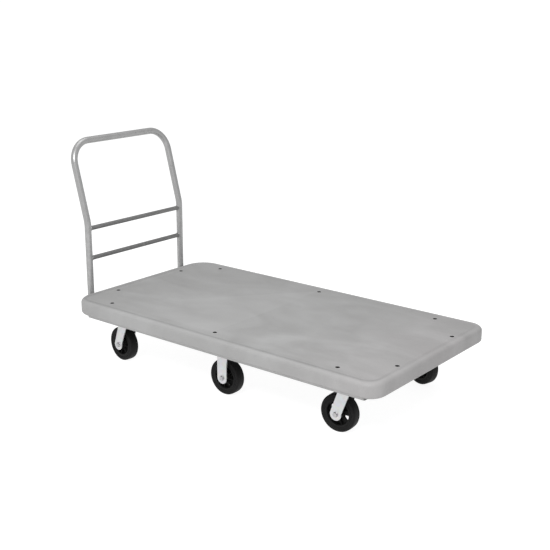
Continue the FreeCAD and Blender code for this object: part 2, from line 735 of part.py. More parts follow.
def swivel_balls(tag, x, y, turn):
    """Ring of bearing balls between the top plate and the fork crown."""
    ball = doc.addObject("Part::Sphere", "ball_" + tag)
    ball.setExpression("Radius", "dims.ball_d / 2")
    ball.setExpression("Placement.Base.x", "dims.ball_ring")
    ball.setExpression("Placement.Base.z", "dims.plate_bottom - dims.ball_d / 2")
    doc.recompute()
    count = int(size("ball_count"))
    solids = []
    for i in range(count):
        copy = ball.Shape.copy()
        copy.rotate(Vec(0, 0, 0), Vec(0, 0, 1), 360.0 * i / count)
        solids.append(copy)
    group = doc.addObject("Part::Feature", "swivel_balls_" + tag + "_ring")
    group.Shape = Part.makeCompound(solids)
    return keep(group, "swivel_balls_" + tag, x, y, turn)


def kingpin(tag, x, y):
    """Riveted kingpin: shank through plate and crown, flange under the crown."""
    name = "kingpin_" + tag
    body = new_body(name)
    sketch = new_sketch(body, name + "_profile", "XZ_Plane")
    shank = "dims.kingpin_d / 2"
    flange = "dims.kingpin_nut_d / 2"
    low = "dims.crown_bottom - dims.kingpin_flange"
    polygon(sketch, [
        ("0", low),
        (flange + " - dims.kingpin_round", low),
        (flange, low + " + dims.kingpin_round"),
        (flange, "dims.crown_bottom - dims.kingpin_gap"),
        (shank, "dims.crown_bottom - dims.kingpin_gap"),
        (shank, "dims.cross_bottom"),
        ("0", "dims.cross_bottom"),
    ])
    turn = body.newObject("PartDesign::Revolution", name + "_turned")
    turn.Profile = sketch
    turn.ReferenceAxis = (sketch, ["V_Axis"])
    turn.Angle = 360
    sketch.Visibility = False
    doc.recompute()
    return keep(body, name, x, y)


def fork_legs(body, name, axle_x, top_left, top_right, top_z):
    """Both legs at once: full-width profile, then the gap for the wheel cut out."""
    legs = new_sketch(body, name + "_legs", "XZ_Plane")
    polygon(legs, [
        (top_left, top_z),
        (axle_x + " - dims.leg_radius", "dims.axle_z + dims.leg_step"),
        (axle_x + " - dims.leg_radius", "dims.axle_z"),
        (axle_x + " + dims.leg_radius", "dims.axle_z"),
        (axle_x + " + dims.leg_radius", "dims.axle_z + dims.leg_step"),
        (top_right, top_z),
    ])
    width = "dims.fork_gap + 2 * dims.fork_steel"
    pad(body, legs, name + "_legs_pad", width, midplane=True)
    ends = new_sketch(body, name + "_leg_ends", "XZ_Plane")
    circle(ends, axle_x, "dims.axle_z", "dims.leg_radius")
    pad(body, ends, name + "_leg_ends_pad", width, midplane=True)


def fork_gap(body, name, axle_x, gap_top):
    gap = new_sketch(body, name + "_gap", "XZ_Plane")
    box_outline(gap, axle_x + " - 120", "0", axle_x + " + 120", gap_top)
    pocket(body, gap, name + "_gap_cut", "dims.fork_gap", midplane=True)
    hole = new_sketch(body, name + "_axle_hole", "XZ_Plane")
    circle(hole, axle_x, "dims.axle_z", "dims.axle_d / 2")
    pocket(body, hole, name + "_axle_hole_cut", "200", midplane=True)


def swivel_fork(tag, x, y, turn):
    """Pressed fork: round crown with a raised ball race and two trailing legs."""
    name = "swivel_fork_" + tag
    body = new_body(name)
    fork_legs(body, name, "-dims.trail", "-dims.leg_back - dims.leg_radius",
              "dims.leg_radius - dims.leg_flare", "dims.crown_top")
    crown = new_sketch(body, name + "_crown", "XY_Plane", "dims.crown_bottom")
    circle(crown, "0", "0", "dims.ball_ring + dims.crown_rim")
    pad(body, crown, name + "_crown_pad", "dims.crown_top - dims.crown_bottom")
    race = new_sketch(body, name + "_race", "XY_Plane", "dims.crown_top - dims.join")
    circle(race, "0", "0", "dims.ball_ring + dims.race_rim")
    pad(body, race, name + "_race_pad", "dims.race_top - dims.crown_top + dims.join")
    fork_gap(body, name, "-dims.trail", "dims.crown_bottom")
    hole = [("0", "0")]
    holes_through(body, name + "_kingpin_hole", hole, "dims.kingpin_d / 2 + dims.axle_clear")
    return keep(body, name, x, y, turn)


def rigid_fork(tag, x, y):
    """Top plate and two upright legs pressed from one piece."""
    name = "rigid_fork_" + tag
    body = new_body(name)
    top_plate_base(body, name)
    fork_legs(body, name, "0", "-dims.leg_radius - dims.leg_flare",
              "dims.leg_radius + dims.leg_flare", "dims.plate_bottom + dims.leg_flare")
    fork_gap(body, name, "0", "dims.plate_bottom")
    plate_holes(body, name)
    return keep(body, name, x, y)


def axle(tag, x, y, turn, axle_x):
    """Axle bolt with its hexagon head outboard and a lock nut inboard."""
    outward = 1 if y > 0 else -1
    half = "(dims.fork_gap / 2 + dims.fork_steel)"
    shank = doc.addObject("Part::Cylinder", "axle_shank_" + tag)
    shank.setExpression("Radius", "dims.axle_d / 2")
    shank.setExpression("Height", "2 * %s + dims.axle_nut_h + 3" % half)
    shank.setExpression("Placement.Base.z", "-%s - dims.axle_nut_h - 2" % half)
    head = doc.addObject("Part::Prism", "axle_head_" + tag)
    head.Polygon = 6
    head.setExpression("Circumradius", "dims.axle_hex / sqrt(3)")
    head.setExpression("Height", "dims.axle_head_h")
    head.setExpression("Placement.Base.z", half)
    bolt = doc.addObject("Part::MultiFuse", "axle_bolt_" + tag)
    bolt.Shapes = [shank, head]
    nut_hex = doc.addObject("Part::Prism", "axle_nut_hex_" + tag)
    nut_hex.Polygon = 6
    nut_hex.setExpression("Circumradius", "dims.axle_hex / sqrt(3)")
    nut_hex.setExpression("Height", "dims.axle_nut_h")
    nut_hex.setExpression("Placement.Base.z", "-%s - dims.axle_nut_h" % half)
    nut_bore = doc.addObject("Part::Cylinder", "axle_nut_bore_" + tag)
    nut_bore.setExpression("Radius", "dims.axle_d / 2")
    nut_bore.setExpression("Height", "dims.axle_nut_h")
    nut_bore.setExpression("Placement.Base.z", "-%s - dims.axle_nut_h" % half)
    nut = doc.addObject("Part::Cut", "axle_nut_" + tag)
    nut.Base = nut_hex
    nut.Tool = nut_bore
    doc.recompute()
    lay = FreeCAD.Placement(Vec(axle_x, 0, size("axle_z")),
                            FreeCAD.Rotation(Vec(1, 0, 0), -90.0 * outward))
    solids = []
    for source in (bolt, nut):
        copy = source.Shape.copy()
        copy.transformShape(lay.toMatrix(), True)
        solids.append(copy)
    group = doc.addObject("Part::Feature", "axle_group_" + tag)
    group.Shape = Part.makeCompound(solids)
    return keep(group, "axle_" + tag, x, y, turn)


def turned(body, name, points):
    """Solid of revolution about the wheel axis; points are (along the axis, radius) pairs."""
    sketch = new_sketch(body, name + "_profile", "YZ_Plane")
    polygon(sketch, points)
    feature = body.newObject("PartDesign::Revolution", name + "_turned")
    feature.Profile = sketch
    feature.ReferenceAxis = (sketch, ["H_Axis"])
    feature.Angle = 360
    sketch.Visibility = False
    doc.recompute()
    return feature


def bearing_sleeve(name):
    body = new_body(name)
    half = "dims.sleeve_w / 2"
    outer = "dims.sleeve_d / 2"
    inner = "dims.axle_d / 2 + dims.axle_clear"
    turned(body, name, [
        ("-" + half, inner), (half, inner), (half, outer), ("-" + half, outer),
    ])
    return body


def wheel_core(name):
    """Hub, dished web with four openings, and rim."""
    body = new_body(name)
    hub_w = "dims.hub_w / 2"
    rim_w = "dims.core_w / 2"
    web = "dims.web_w / 2"
    bore = "dims.sleeve_d / 2"
    hub = "dims.hub_d / 2"
    hub_foot = "dims.hub_d / 2 + 4"
    ring = "dims.core_bore / 2"
    ring_foot = "dims.core_bore / 2 - 3"
    outer = "dims.core_d / 2"
    turned(body, name, [
        ("-" + hub_w, bore), (hub_w, bore), (hub_w, hub), (web, hub_foot),
        (web, ring_foot), (rim_w, ring), (rim_w, outer), ("-" + rim_w, outer),
        ("-" + rim_w, ring), ("-" + web, ring_foot), ("-" + web, hub_foot), ("-" + hub_w, hub),
    ])
    openings = new_sketch(body, name + "_openings", "XZ_Plane")
    inner = "(dims.hub_d / 2 + 5)"
    outer_r = "(dims.core_bore / 2 - 5)"
    for cx, cz in (("1", "0"), ("-1", "0"), ("0", "1"), ("0", "-1")):
        near = "%s * %s" % (cx, inner)
        far = "%s * %s" % (cx, outer_r)
        up = "%s * %s" % (cz, inner)
        top = "%s * %s" % (cz, outer_r)
        slim = "dims.opening_in"
        wide = "dims.opening_out"
        if cx != "0":
            polygon(openings, [(near, "-" + slim), (far, "-" + wide), (far, wide), (near, slim)])
        else:
            polygon(openings, [("-" + slim, up), ("-" + wide, top), (wide, top), (slim, up)])
    pocket(body, openings, name + "_openings_cut", "200", midplane=True)
    reach = size("core_bore") / 2 - 5

    def opening_corner(edge):
        box = edge.BoundBox
        across = box.YLength > 5 and box.XLength < 0.01 and box.ZLength < 0.01
        away = max(abs(box.Center.x), abs(box.Center.z))
        return across and (abs(away - reach) < 0.1)

    fillet(body, name + "_opening_rounds", "dims.opening_round", opening_corner)
    return body


def wheel_tyre(name):
    """Solid tyre with rounded shoulders."""
    body = new_body(name)
    half = "dims.tread_w / 2"
    inner = "dims.core_d / 2"
    outer = "dims.wheel_d / 2"
    rim_w = "dims.core_w / 2"
    turned(body, name, [
        ("-" + rim_w, inner), (rim_w, inner), (half, inner + " + 4"), (half, outer),
        ("-" + half, outer), ("-" + half, inner + " + 4"),
    ])
    wanted = size("wheel_d") / 2

    def shoulder(edge):
        curve = edge.Curve
        return hasattr(curve, "Radius") and abs(curve.Radius - wanted) < 0.01

    fillet(body, name + "_shoulders", "dims.tread_round", shoulder)
    return body


def wheel(tag, x, y, turn, axle_x, roll):
    """Wheel core, tyre and bearing sleeve, rolled to their rest angle about the axle."""
    for kind, maker in (("core_", wheel_core), ("tyre_", wheel_tyre), ("bearing_", bearing_sleeve)):
        name = kind + tag
        body = maker(name)
        keep(body, name, x, y, turn)
        about = FreeCAD.Rotation(Vec(0, 0, 1), turn) * FreeCAD.Rotation(Vec(0, 1, 0), roll)
        arm = FreeCAD.Rotation(Vec(0, 0, 1), turn).multVec(Vec(axle_x, 0, 0))
        place = Vec(SHIFT + x, y, size("axle_z")) + arm
        body.Placement = FreeCAD.Placement(place, about)


for tag, x, y, turn, roll in CASTERS:
    swivel_plate(tag, x, y)
    swivel_balls(tag, x, y, turn)
    kingpin(tag, x, y)
    swivel_fork(tag, x, y, turn)
    axle(tag, x, y, turn, -size("trail"))
    wheel(tag, x, y, turn, -size("trail"), roll)

for tag, x, y, roll in RIGIDS:
    rigid_fork(tag, x, y)
    axle(tag, x, y, 0.0, 0.0)
    wheel(tag, x, y, 0.0, 0.0, roll)


# ---------------------------------------------------------------- handle
def bent_path(points, radii):
    """Wire through the points with a tangent arc of the given radius at each inner one."""
    edges = []
    last = points[0]
    for i in range(1, len(points) - 1):
        before = (points[i - 1] - points[i]).normalize()
        after = (points[i + 1] - points[i]).normalize()
        half_angle = before.getAngle(after) / 2
        reach = radii[i - 1] / math.tan(half_angle)
        start = points[i] + before * reach
        end = points[i] + after * reach
        inward = (before + after).normalize()
        centre = points[i] + inward * (radii[i - 1] / math.sin(half_angle))
        middle = centre - inward * radii[i - 1]
        edges.append(Part.makeLine(last, start))
        edges.append(Part.Arc(start, middle, end).toShape())
        last = end
    edges.append(Part.makeLine(last, points[-1]))
    return Part.Wire(edges)


def handle_tube():
    """One tube bent out of plane: upright posts, a lean above the kink, round top corners."""
    post_x = size("post_x")
    post_y = size("post_y")
    grip_x = size("grip_x")
    foot = size("post_bottom")
    kink = size("kink_z")
    grip = size("grip_z")
    points = [
        Vec(post_x, -post_y, foot), Vec(post_x, -post_y, kink), Vec(grip_x, -post_y, grip),
        Vec(grip_x, post_y, grip), Vec(post_x, post_y, kink), Vec(post_x, post_y, foot),
    ]
    bend = size("kink_radius")
    corner = size("top_radius")
    path = bent_path(points, [bend, corner, corner, bend])
    solids = []
    for radius in (size("tube_d") / 2, size("tube_d") / 2 - size("tube_wall")):
        ring = Part.makeCircle(radius, points[0], Vec(0, 0, 1))
        solids.append(path.makePipeShell([Part.Wire([ring])], True, False))
    tube = doc.addObject("Part::Feature", "handle_tube_bent")
    tube.Shape = solids[0].cut(solids[1])
    return keep(tube, "handle_tube")


def crossbar(name, height):
    """Straight tube between the posts, coped to their round sides."""
    outer = doc.addObject("Part::Cylinder", name + "_outer")
    outer.setExpression("Radius", "dims.bar_d / 2")
    outer.setExpression("Height", "2 * dims.post_y")
    inner = doc.addObject("Part::Cylinder", name + "_inner")
    inner.setExpression("Radius", "dims.bar_d / 2 - dims.bar_wall")
    inner.setExpression("Height", "2 * dims.post_y")
    tools = [inner]
    for item in (outer, inner):
        item.Placement.Rotation = FreeCAD.Rotation(Vec(1, 0, 0), -90)
        item.setExpression("Placement.Base.x", "dims.post_x")
        item.setExpression("Placement.Base.y", "-dims.post_y")
        item.setExpression("Placement.Base.z", height)
    for sign in ("-", ""):
        post = doc.addObject("Part::Cylinder", name + "_cope")
        post.setExpression("Radius", "dims.tube_d / 2")
        post.Height = 100
        post.setExpression("Placement.Base.x", "dims.post_x")
        post.setExpression("Placement.Base.y", sign + "dims.post_y")
        post.setExpression("Placement.Base.z", height + " - 50")
        tools.append(post)
    both = doc.addObject("Part::MultiFuse", name + "_tools")
    both.Shapes = tools
    bar = doc.addObject("Part::Cut", name + "_bar")
    bar.Base = outer
    bar.Tool = both
    doc.recompute()
    return keep(bar, name)


handle_tube()
crossbar("crossbar_upper", "dims.bar_upper_z")
crossbar("crossbar_lower", "dims.bar_lower_z")

# ---------------------------------------------------------------- checks and export
doc.recompute()
for obj in doc.Objects:
    if "Invalid" in obj.State or "Error" in obj.State:
        raise ValueError("%s is %s" % (obj.Name, obj.State))
for obj in NODES:
    if obj.Shape.isNull() or not obj.Shape.isValid():
        raise ValueError(obj.Label + " has a bad shape")
    obj.Shape.exportStep("parts/%s.step" % obj.Label)
    box = obj.Shape.BoundBox
    print("%-24s solids %2d vol %10.0f x %7.1f %7.1f y %7.1f %7.1f z %6.1f %6.1f" % (
        obj.Label, len(obj.Shape.Solids), obj.Shape.Volume,
        box.XMin, box.XMax, box.YMin, box.YMax, box.ZMin, box.ZMax))
print(len(NODES), "nodes")
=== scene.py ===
import json
import math
import random

import bmesh
import bpy
from mathutils import Matrix, Vector


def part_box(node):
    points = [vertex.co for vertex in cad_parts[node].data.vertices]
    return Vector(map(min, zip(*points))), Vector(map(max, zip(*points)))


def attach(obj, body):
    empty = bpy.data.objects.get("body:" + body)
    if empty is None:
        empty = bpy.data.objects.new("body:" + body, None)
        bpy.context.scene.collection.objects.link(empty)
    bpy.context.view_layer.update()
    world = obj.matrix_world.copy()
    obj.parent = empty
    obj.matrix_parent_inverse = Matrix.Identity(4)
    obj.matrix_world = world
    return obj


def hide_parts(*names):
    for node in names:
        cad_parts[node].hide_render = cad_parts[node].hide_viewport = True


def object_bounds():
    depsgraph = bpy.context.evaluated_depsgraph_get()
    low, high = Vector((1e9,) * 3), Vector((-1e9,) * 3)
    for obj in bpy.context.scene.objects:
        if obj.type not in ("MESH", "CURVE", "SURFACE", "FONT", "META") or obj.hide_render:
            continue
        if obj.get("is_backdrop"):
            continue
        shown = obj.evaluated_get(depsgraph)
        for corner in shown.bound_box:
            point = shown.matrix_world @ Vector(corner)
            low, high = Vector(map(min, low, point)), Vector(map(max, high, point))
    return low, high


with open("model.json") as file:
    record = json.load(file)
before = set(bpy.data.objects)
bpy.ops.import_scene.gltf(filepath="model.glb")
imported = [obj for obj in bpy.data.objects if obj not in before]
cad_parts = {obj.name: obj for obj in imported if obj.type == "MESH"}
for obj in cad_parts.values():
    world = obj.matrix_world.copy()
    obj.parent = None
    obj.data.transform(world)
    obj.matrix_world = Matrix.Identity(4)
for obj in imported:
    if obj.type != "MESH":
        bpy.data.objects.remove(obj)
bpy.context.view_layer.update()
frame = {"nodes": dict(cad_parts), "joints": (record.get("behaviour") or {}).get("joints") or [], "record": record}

NODES = frame["nodes"]
RECORD = frame["record"]
SLOT_OF = {row["node"]: row["material_slot"] for row in RECORD["subparts"]}
MM = 0.001
random.seed(11)

deck_lo, deck_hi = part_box("deck_shell")
DECK_MID = (deck_lo + deck_hi) / 2
DECK_HALF = (deck_hi - deck_lo) / 2
CORNER = 0.075
CREASE_IN = 0.028


# ---------------------------------------------------------------- materials
class Nodes:
    """Small helper that adds and links shader nodes."""

    def __init__(self, name):
        self.mat = bpy.data.materials.new(name)
        self.mat.use_nodes = True
        self.tree = self.mat.node_tree
        self.tree.nodes.clear()
        self.out = self.tree.nodes.new("ShaderNodeOutputMaterial")
        self.bsdf = self.tree.nodes.new("ShaderNodeBsdfPrincipled")
        self.tree.links.new(self.bsdf.outputs[0], self.out.inputs["Surface"])
        self.coord = self.tree.nodes.new("ShaderNodeTexCoord").outputs["Object"]

    def link(self, a, b):
        self.tree.links.new(a, b)

    def mapped(self, scale=(1, 1, 1), turn=(0, 0, 0), source=None):
        n = self.tree.nodes.new("ShaderNodeMapping")
        n.inputs["Scale"].default_value = scale
        n.inputs["Rotation"].default_value = turn
        self.link(source or self.coord, n.inputs["Vector"])
        return n.outputs["Vector"]

    def noise(self, scale, detail=4.0, rough=0.55, distort=0.0, vector=None):
        n = self.tree.nodes.new("ShaderNodeTexNoise")
        n.inputs["Scale"].default_value = scale
        n.inputs["Detail"].default_value = detail
        n.inputs["Roughness"].default_value = rough
        n.inputs["Distortion"].default_value = distort
        self.link(vector or self.coord, n.inputs["Vector"])
        return n.outputs["Fac"]

    def cells(self, scale, vector=None, feature="F1", out="Distance"):
        n = self.tree.nodes.new("ShaderNodeTexVoronoi")
        n.feature = feature
        n.inputs["Scale"].default_value = scale
        self.link(vector or self.coord, n.inputs["Vector"])
        return n.outputs[out]

    def ramp(self, value, stops):
        n = self.tree.nodes.new("ShaderNodeValToRGB")
        ramp = n.color_ramp
        while len(ramp.elements) < len(stops):
            ramp.elements.new(0.5)
        for element, (at, colour) in zip(ramp.elements, stops):
            element.position = at
            c = colour if isinstance(colour, tuple) else (colour,) * 3
            element.color = (*c, 1.0)
        self.link(value, n.inputs["Fac"])
        return n.outputs["Color"]

    def remap(self, value, lo, hi, out_lo, out_hi):
        n = self.tree.nodes.new("ShaderNodeMapRange")
        n.inputs["From Min"].default_value = lo
        n.inputs["From Max"].default_value = hi
        n.inputs["To Min"].default_value = out_lo
        n.inputs["To Max"].default_value = out_hi
        self.link(value, n.inputs["Value"])
        return n.outputs["Result"]

    def mix(self, factor, a, b, how="MIX"):
        n = self.tree.nodes.new("ShaderNodeMix")
        n.data_type = "RGBA"
        n.blend_type = how
        for socket, value in ((n.inputs[0], factor), (n.inputs[6], a), (n.inputs[7], b)):
            if isinstance(value, bpy.types.NodeSocket):
                self.link(value, socket)
            elif isinstance(value, tuple):
                socket.default_value = (*value, 1.0)
            else:
                socket.default_value = value
        return n.outputs[2]

    def math(self, how, a, b):
        n = self.tree.nodes.new("ShaderNodeMath")
        n.operation = how
        for socket, value in ((n.inputs[0], a), (n.inputs[1], b)):
            if isinstance(value, bpy.types.NodeSocket):
                self.link(value, socket)
            else:
                socket.default_value = value
        return n.outputs[0]

    def vector(self, how, a, b=(0, 0, 0)):
        n = self.tree.nodes.new("ShaderNodeVectorMath")
        n.operation = how
        for socket, value in ((n.inputs[0], a), (n.inputs[1], b)):
            if isinstance(value, bpy.types.NodeSocket):
                self.link(value, socket)
            else:
                socket.default_value = value
        return n.outputs["Value"] if how == "LENGTH" else n.outputs["Vector"]

    def edges(self, lo, hi):
        """1 on convex edges, 0 elsewhere."""
        n = self.tree.nodes.new("ShaderNodeNewGeometry")
        return self.remap(n.outputs["Pointiness"], lo, hi, 0.0, 1.0)

    def bump(self, height, strength, distance, before=None):
        n = self.tree.nodes.new("ShaderNodeBump")
        n.inputs["Strength"].default_value = strength
        n.inputs["Distance"].default_value = distance
        self.link(height, n.inputs["Height"])
        if before is not None:
            self.link(before, n.inputs["Normal"])
        return n.outputs["Normal"]

    def finish(self, colour, rough, normal, **fixed):
        self.link(colour, self.bsdf.inputs["Base Color"])
        self.link(rough, self.bsdf.inputs["Roughness"])
        self.link(normal, self.bsdf.inputs["Normal"])
        for key, value in fixed.items():
            self.bsdf.inputs[key.replace("_", " ")].default_value = value
        return self.mat


def grey(v, warm=0.0):
    return (v * (1 + warm), v, v * (1 - warm))


def depth_from_rim(m):
    """Distance inside the deck's rounded outline, in metres, from object coordinates."""
    half = m.vector("ABSOLUTE", m.vector("SUBTRACT", m.coord, DECK_MID))
    past = m.vector("SUBTRACT", half, (DECK_HALF.x - CORNER, DECK_HALF.y - CORNER, 10.0))
    outer = m.vector("LENGTH", m.vector("MAXIMUM", past, (0, 0, 0)))
    split = m.tree.nodes.new("ShaderNodeSeparateXYZ")
    m.link(past, split.inputs[0])
    inner = m.math("MINIMUM", m.math("MAXIMUM", split.outputs[0], split.outputs[1]), 0.0)
    return m.math("SUBTRACT", CORNER, m.math("ADD", outer, inner))


def deck_plastic():
    m = Nodes("deck_plastic")
    along = m.mapped(scale=(1.0, 2.4, 0.4), turn=(0, 0, math.radians(-38)))
    streak = m.noise(1.9, 4, 0.5, 1.6, along)
    cloud = m.noise(5.5, 4, 0.6, 0.6)
    speck = m.noise(420, 2, 0.5)
    both = m.mix(0.35, m.ramp(streak, [(0.34, 0.0), (0.66, 1.0)]), m.ramp(cloud, [(0.35, 0.0), (0.65, 1.0)]))
    base = m.ramp(both, [(0.0, grey(0.246, 0.006)), (0.5, grey(0.282, 0.003)), (1.0, grey(0.322, 0.0))])
    fine = m.mix(0.05, base, m.ramp(speck, [(0.3, 0.2), (0.7, 0.7)]))
    scuff_at = m.noise(9, 3, 0.7, 2.0, m.mapped(scale=(1, 9, 1), turn=(0, 0, 0.5)))
    scuff = m.ramp(scuff_at, [(0.66, 0.0), (0.72, 1.0)])
    worn = m.mix(m.math("MULTIPLY", scuff, 0.16), fine, grey(0.38))
    depth = depth_from_rim(m)
    # painted shade: a dark line along the crease, CREASE_IN inside the rim, stands in for the shade in the groove
    off_line = m.math("ABSOLUTE", m.math("SUBTRACT", depth, CREASE_IN), 0.0)
    line = m.remap(off_line, 0.0, 0.009, 1.0, 0.0)
    split = m.tree.nodes.new("ShaderNodeSeparateXYZ")
    m.link(m.coord, split.inputs[0])
    patchy = m.remap(m.noise(11, 3, 0.6), 0.35, 0.65, 0.20, 0.44)
    # weight of the painted shade line: full along the near side (low y), a quarter elsewhere, broken up by noise
    crease_shade_weight = m.math("MULTIPLY", patchy, m.remap(split.outputs[1], -0.33, -0.20, 1.0, 0.25))
    crease_shaded = m.mix(m.math("MULTIPLY", line, crease_shade_weight), worn, grey(0.12))
    # painted highlight: a lighter band 16 mm nearer the rim than the crease line stands in for the lit slope of
    # the groove
    off_highlight = m.math("ABSOLUTE", m.math("SUBTRACT", depth, CREASE_IN - 0.016), 0.0)
    painted_highlight = m.remap(off_highlight, 0.0, 0.010, 0.20, 0.0)
    highlighted = m.mix(painted_highlight, crease_shaded, grey(0.36))
    towards_end = m.remap(split.outputs[0], 0.30, 0.75, 0.0, 0.55)
    warm = m.math("MULTIPLY", towards_end, m.remap(cloud, 0.3, 0.7, 0.4, 1.0))
    tinted = m.mix(warm, highlighted, (1.0, 0.955, 0.965), "MULTIPLY")
    colour = m.mix(m.math("MULTIPLY", m.edges(0.52, 0.60), 0.25), tinted, grey(0.36))
    rough = m.remap(both, 0, 1, 0.44, 0.56)
    wave = m.bump(m.noise(7, 2, 0.4), 0.10, 0.004)
    grain = m.bump(m.noise(900, 3, 0.6), 0.12, 0.0004, wave)
    return m.finish(colour, rough, grain, Specular_IOR_Level=0.28)


def enamel(name, tone, rough_mid, metallic=0.0, coat=0.0):
    m = Nodes(name)
    mottling = m.noise(14, 5, 0.6, 0.4)
    base = m.ramp(mottling, [(0.3, grey(tone * 0.93)), (0.7, grey(tone * 1.06))])
    chip_at = m.math("MULTIPLY", m.edges(0.51, 0.58), m.remap(m.noise(60, 4, 0.7), 0.45, 0.6, 0.0, 1.0))
    colour = m.mix(m.math("MULTIPLY", chip_at, 0.5), base, grey(tone * 1.35))
    rough = m.remap(m.noise(40, 4, 0.6), 0.3, 0.7, rough_mid - 0.05, rough_mid + 0.07)
    peel = m.bump(m.noise(260, 2, 0.4), 0.10, 0.0006)
    fine = m.bump(m.noise(1400, 2, 0.5), 0.05, 0.0003, peel)
    return m.finish(colour, rough, fine, Metallic=metallic, Coat_Weight=coat, Coat_Roughness=0.2)


def zinc(name, tone, rough_mid, scale=1.0):
    m = Nodes(name)
    spangle = m.cells(90 * scale, out="Color")
    cloud = m.noise(25 * scale, 4, 0.6, 0.5)
    dull, bright = (tone * 0.93, tone * 0.94, tone * 0.95), (tone, tone, tone * 1.01)
    base = m.mix(0.10, m.ramp(cloud, [(0.3, dull), (0.7, bright)]), spangle, "SOFT_LIGHT")
    grime = m.ramp(m.noise(38 * scale, 5, 0.7, 0.8), [(0.58, 0.0), (0.74, 1.0)])
    colour = m.mix(m.math("MULTIPLY", grime, 0.22), base, grey(tone * 0.55, 0.03))
    rough = m.remap(m.noise(60 * scale, 4, 0.65), 0.3, 0.7, rough_mid - 0.07, rough_mid + 0.10)
    brushed = m.noise(70, 3, 0.6, 0.0, m.mapped(scale=(1, 1, 22)))
    normal = m.bump(brushed, 0.05, 0.0004)
    fine = m.bump(m.noise(700, 2, 0.5), 0.06, 0.0003, normal)
    return m.finish(colour, rough, fine, Metallic=0.85)


def black(name, tone, rough_mid, grain, dust):
    m = Nodes(name)
    cloud = m.noise(22, 5, 0.6, 0.5)
    base = m.ramp(cloud, [(0.3, grey(tone * 0.8)), (0.7, grey(tone * 1.25))])
    film = m.ramp(m.noise(55, 5, 0.7, 1.0), [(0.45, 0.0), (0.75, 1.0)])
    dusty = m.mix(m.math("MULTIPLY", film, dust), base, grey(0.10, 0.02))
    colour = m.mix(m.math("MULTIPLY", m.edges(0.52, 0.62), 0.15), dusty, grey(0.03))
    rough = m.remap(film, 0, 1, rough_mid, rough_mid + 0.14)
    fine = m.bump(m.noise(grain, 3, 0.6), 0.16, 0.0004)
    return m.finish(colour, rough, fine, Specular_IOR_Level=0.13)


MATERIALS = {
    "deck_plastic": deck_plastic(),
    "frame_steel": enamel("frame_steel", 0.30, 0.42),
    "tube_steel": enamel("tube_steel", 0.30, 0.30, 0.35, 0.0),
    "bar_steel": enamel("bar_steel", 0.145, 0.38, 0.30, 0.0),
    "caster_zinc": zinc("caster_zinc", 0.58, 0.38),
    "fastener_zinc": zinc("fastener_zinc", 0.42, 0.34, 2.0),
    "bearing_steel": zinc("bearing_steel", 0.40, 0.25, 2.0),
    "core_black": black("core_black", 0.005, 0.50, 500, 0.05),
    "tyre_black": black("tyre_black", 0.006, 0.56, 900, 0.06),
    "bolt_dark": black("bolt_dark", 0.006, 0.50, 600, 0.02),
}

for name, node in NODES.items():
    node.data.materials.clear()
    node.data.materials.append(MATERIALS[SLOT_OF[name]])


# ---------------------------------------------------------------- edges of the kept CAD nodes
BEVEL = {"deck_shell": 0.8, "side_rail": 0.8, "cross_channel": 1.2, "stringer": 1.2, "handle_beam": 1.2,
         "handle_socket": 0.8, "swivel_plate": 1.0, "swivel_fork": 1.2, "rigid_fork": 1.2, "core": 0.8}


MERGE_DIST = 0.00002


def soften(node, width):
    """Round a node's sharp edges by a width in millimetres, after merging its flat faces."""
    weld = node.modifiers.new("weld", "WELD")
    weld.merge_threshold = MERGE_DIST
    flat = node.modifiers.new("flat", "DECIMATE")
    flat.decimate_type = "DISSOLVE"
    flat.angle_limit = math.radians(0.4)
    bevel = node.modifiers.new("bevel", "BEVEL")
    bevel.width = width * MM
    bevel.segments = 3
    bevel.limit_method = "ANGLE"
    bevel.angle_limit = math.radians(38)
    bevel.harden_normals = True


for name, node in NODES.items():
    for start, width in BEVEL.items():
        if name.startswith(start):
            soften(node, width)

# ---------------------------------------------------------------- mesh helpers
def frame_of(axis):
    """Two unit vectors square to an axis."""
    axis = Vector(axis).normalized()
    side = Vector((0, 0, 1)) if abs(axis.z) < 0.9 else Vector((1, 0, 0))
    u = side.cross(axis).normalized()
    return u, axis.cross(u), axis


def around(start, u, v, radius, turn):
    """Point at a radius and turn about start, in the plane of u and v."""
    return start + u * (radius * math.cos(turn)) + v * (radius * math.sin(turn))


def skin(bm, rings, closed, caps):
    """Quads between successive rings of vertices."""
    count = len(rings[0])
    pairs = list(zip(rings, rings[1:]))
    if closed:
        pairs.append((rings[-1], rings[0]))
    for low, high in pairs:
        for i in range(count):
            j = (i + 1) % count
            bm.faces.new((low[i], low[j], high[j], high[i]))
    if caps:
        bm.faces.new(list(reversed(rings[0])))
        bm.faces.new(rings[-1])


def lathe(bm, profile, centre, axis, segments=48, closed=False):
    """Turned shape about an axis; profile holds (along, radius) pairs in metres."""
    u, v, w = frame_of(axis)
    rings = []
    for along, radius in profile:
        ring = []
        for i in range(segments):
            t = 2 * math.pi * i / segments
            ring.append(bm.verts.new(around(Vector(centre) + w * along, u, v, radius, t)))
        rings.append(ring)
    skin(bm, rings, closed, not closed)


def hexagon(bm, base, axis, across, height, hole=0.0):
    """Hexagon head or nut whose corners are cut back by a 30 degree chamfer at its top."""
    u, v, w = frame_of(axis)
    corner, flat = across / math.sqrt(3), across / 2
    drop = (corner - flat) * 0.58

    def ring(radii, heights):
        made = []
        for i in range(24):
            t = 2 * math.pi * i / 24
            k = (0, 1, 2, 1)[i % 4]
            made.append(bm.verts.new(around(Vector(base), u, v, radii[k], t) + w * heights[k]))
        return made

    mid = flat / math.cos(math.radians(15))
    side = (corner, mid, flat)
    inner = hole if hole else flat * 0.3
    shoulder = (height - drop, height - drop * 0.3, height - drop * 0.05)
    rings = [
        ring((inner,) * 3, (0, 0, 0)),
        ring(side, (0, 0, 0)),
        ring(side, shoulder),
        ring((flat * 0.95,) * 3, (height,) * 3),
        ring((inner,) * 3, (height,) * 3),
    ]
    skin(bm, rings, bool(hole), not hole)


